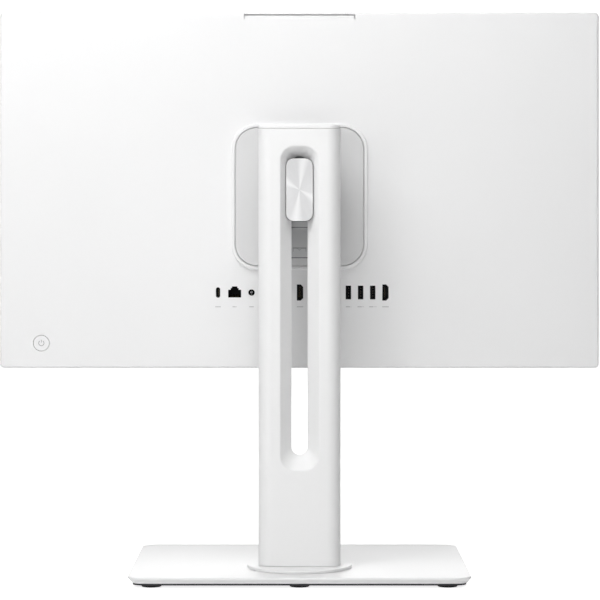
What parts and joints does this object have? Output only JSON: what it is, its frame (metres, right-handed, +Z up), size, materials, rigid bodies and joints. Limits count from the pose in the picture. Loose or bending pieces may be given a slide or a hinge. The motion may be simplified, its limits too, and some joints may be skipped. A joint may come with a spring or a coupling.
{
  "type": "all in one pc",
  "caption": "All-in-one desktop computer on a height-adjustable stand: slim display head with rear connectors, slotted lift column, swivel disc and weighted base.",
  "frame": {"origin": "on the desk under the middle of the stand's base", "axes": "+Z up, the screen faces -Y, the connectors face +Y, +X is the viewer's right when facing the screen"},
  "size_m": [0.54, 0.222, 0.5008],
  "materials": {
    "shell": "fine satin texture",
    "stand_white": "satin white",
    "black_plastic": "matte",
    "dark_grey_plastic": "matte",
    "light_grey_plastic": "matte",
    "screen": "anti-glare",
    "panel_back": "satin",
    "sheet_steel": "zinc plated",
    "painted_plate": "satin powder coat",
    "black_steel": "black oxide",
    "spun_metal": "radially spun",
    "screw_steel": "nickel plated",
    "circuit_board": "solder mask",
    "copper": "drawn copper",
    "aluminium": "mill",
    "connector_steel": "tin plated",
    "nylon": "natural",
    "rubber_black": "matte",
    "spring_steel": "rolled",
    "die_cast": "light grey paint on die-cast metal",
    "lens_glass": "coated"
  },
  "bodies": {
    "base": {"base_cover": "stand_white", "base_weight": "black_steel", "base_underplate": "black_plastic", "base_feet": "rubber_black", "base_screws": "screw_steel", "swivel_washer": "nylon"},
    "column": {"column_rear_shell": "stand_white", "column_front_shell": "stand_white", "column_cap": "stand_white", "column_spine": "black_steel", "guide_rails": "aluminium", "spring_bracket": "sheet_steel", "spring_coils": "spring_steel", "spring_strips": "spring_steel", "column_foot": "black_steel", "foot_screws": "screw_steel", "swivel_disc": "stand_white", "thumbscrew": "screw_steel"},
    "carriage": {"lift_arm": "die_cast", "slider_pads": "nylon", "arm_cap": "spun_metal"},
    "tilt_head": {"tilt_bracket": "black_steel", "tilt_shaft": "screw_steel", "tilt_washers": "spring_steel", "tilt_nut": "screw_steel", "hinge_shroud": "light_grey_plastic"},
    "fan": {"fan_rotor": "dark_grey_plastic"},
    "power_button": {"power_button": "shell"},
    "camera": {"camera_bar": "black_plastic", "camera_cap": "shell", "camera_lens": "lens_glass"},
    "latch": {"release_latch": "light_grey_plastic"},
    "head": {"front_bezel": "black_plastic", "display_glass": "screen", "lcd_module": "panel_back", "mid_frame": "sheet_steel", "chassis_screws": "screw_steel", "rear_cover": "shell", "mount_bracket": "sheet_steel", "mount_screws": "screw_steel", "pivot_plate": "painted_plate", "pivot_hub": "black_steel", "pivot_washers": "nylon", "pivot_nut": "black_steel", "motherboard": "circuit_board", "standoffs": "screw_steel", "heat_pipe": "copper", "heatsink_fins": "aluminium", "fan_housing": "black_plastic", "fan_cover": "sheet_steel", "ram_modules": "circuit_board", "ssd": "circuit_board", "speakers": "black_plastic", "power_switch_board": "circuit_board", "usb_shells": "connector_steel", "hdmi_shells": "connector_steel", "ethernet_jack": "black_plastic", "dc_jack": "black_plastic", "port_tongues": "dark_grey_plastic", "camera_guides": "black_plastic"}
  },
  "joints": [
    {"name": "swivel", "type": "hinge", "parent": "base", "child": "column", "pos_m": [0, 0.044, 0.0096], "axis": [0, 0, 1], "range_deg": [-45, 45]},
    {"name": "lift", "type": "slide", "parent": "column", "child": "carriage", "axis": [0, 0, 1], "range_m": [-0.13, 0], "deforming": ["spring_strips"]},
    {"name": "tilt", "type": "hinge", "parent": "carriage", "child": "tilt_head", "pos_m": [0, 0.008, 0.3346], "axis": [-1, 0, 0], "range_deg": [-5, 25]},
    {"name": "pivot", "type": "hinge", "parent": "tilt_head", "child": "head", "pos_m": [0, -0.0155, 0.3346], "axis": [0, 1, 0], "range_deg": [0, 90]},
    {"name": "fan_spin", "type": "hinge", "parent": "head", "child": "fan", "pos_m": [-0.175, -0.035, 0.414], "axis": [0, 1, 0], "continuous": true},
    {"name": "power_press", "type": "slide", "parent": "head", "child": "power_button", "axis": [0, -1, 0], "range_m": [0, 0.001], "stiffness_N_per_m": 1500},
    {"name": "camera_rise", "type": "slide", "parent": "head", "child": "camera", "axis": [0, 0, 1], "range_m": [0, 0.024]},
    {"name": "latch_lift", "type": "slide", "parent": "head", "child": "latch", "axis": [0, 0, 1], "range_m": [0, 0.003], "stiffness_N_per_m": 700, "springref_m": -0.002}
  ]
}
